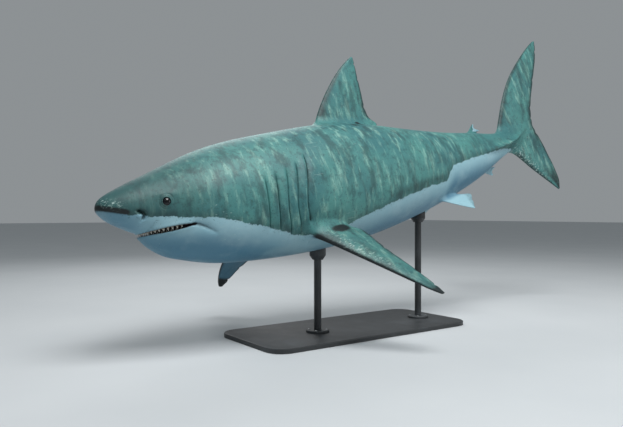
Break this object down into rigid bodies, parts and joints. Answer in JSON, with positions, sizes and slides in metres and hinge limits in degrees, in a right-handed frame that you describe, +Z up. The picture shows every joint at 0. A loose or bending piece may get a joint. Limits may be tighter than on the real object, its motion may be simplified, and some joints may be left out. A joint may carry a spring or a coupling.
{
  "type": "great white shark model on a stand",
  "caption": "Life-size great white shark, swimming with its jaws just parted and head and tail turned to its left, held over a flat base by upright rods.",
  "frame": {"origin": "on the floor, under the middle of the whole model's footprint", "axes": "+Z up; -X towards the snout and +X towards the tail; +Y towards the shark's right side"},
  "size_m": [3.2564, 1.404, 1.8595],
  "materials": {
    "shark_skin": "wet-looking hide of fine tooth-like scales, slate grey-green above and pale grey below",
    "jaw_skin": "wet-looking pale grey hide",
    "eye_black": "polished, near black",
    "stand_steel": "satin powder coat"
  },
  "bodies": {
    "root": {"head": "shark_skin", "gill_region": "shark_skin", "trunk_front": "shark_skin", "trunk_middle": "shark_skin", "trunk_rear": "shark_skin", "tail_stock": "shark_skin", "first_dorsal_fin": "shark_skin", "second_dorsal_fin": "shark_skin", "anal_fin": "shark_skin", "pectoral_fin_left": "shark_skin", "pectoral_fin_right": "shark_skin", "pelvic_fin_left": "shark_skin", "pelvic_fin_right": "shark_skin", "tail_fin_upper": "shark_skin", "tail_fin_lower": "shark_skin", "lower_jaw": "jaw_skin", "eye_left": "eye_black", "eye_right": "eye_black", "stand_base": "stand_steel", "stand_flange_front": "stand_steel", "stand_flange_rear": "stand_steel", "stand_rod_front": "stand_steel", "stand_rod_rear": "stand_steel", "stand_saddle_front": "stand_steel", "stand_saddle_rear": "stand_steel"}
  },
  "joints": []
}
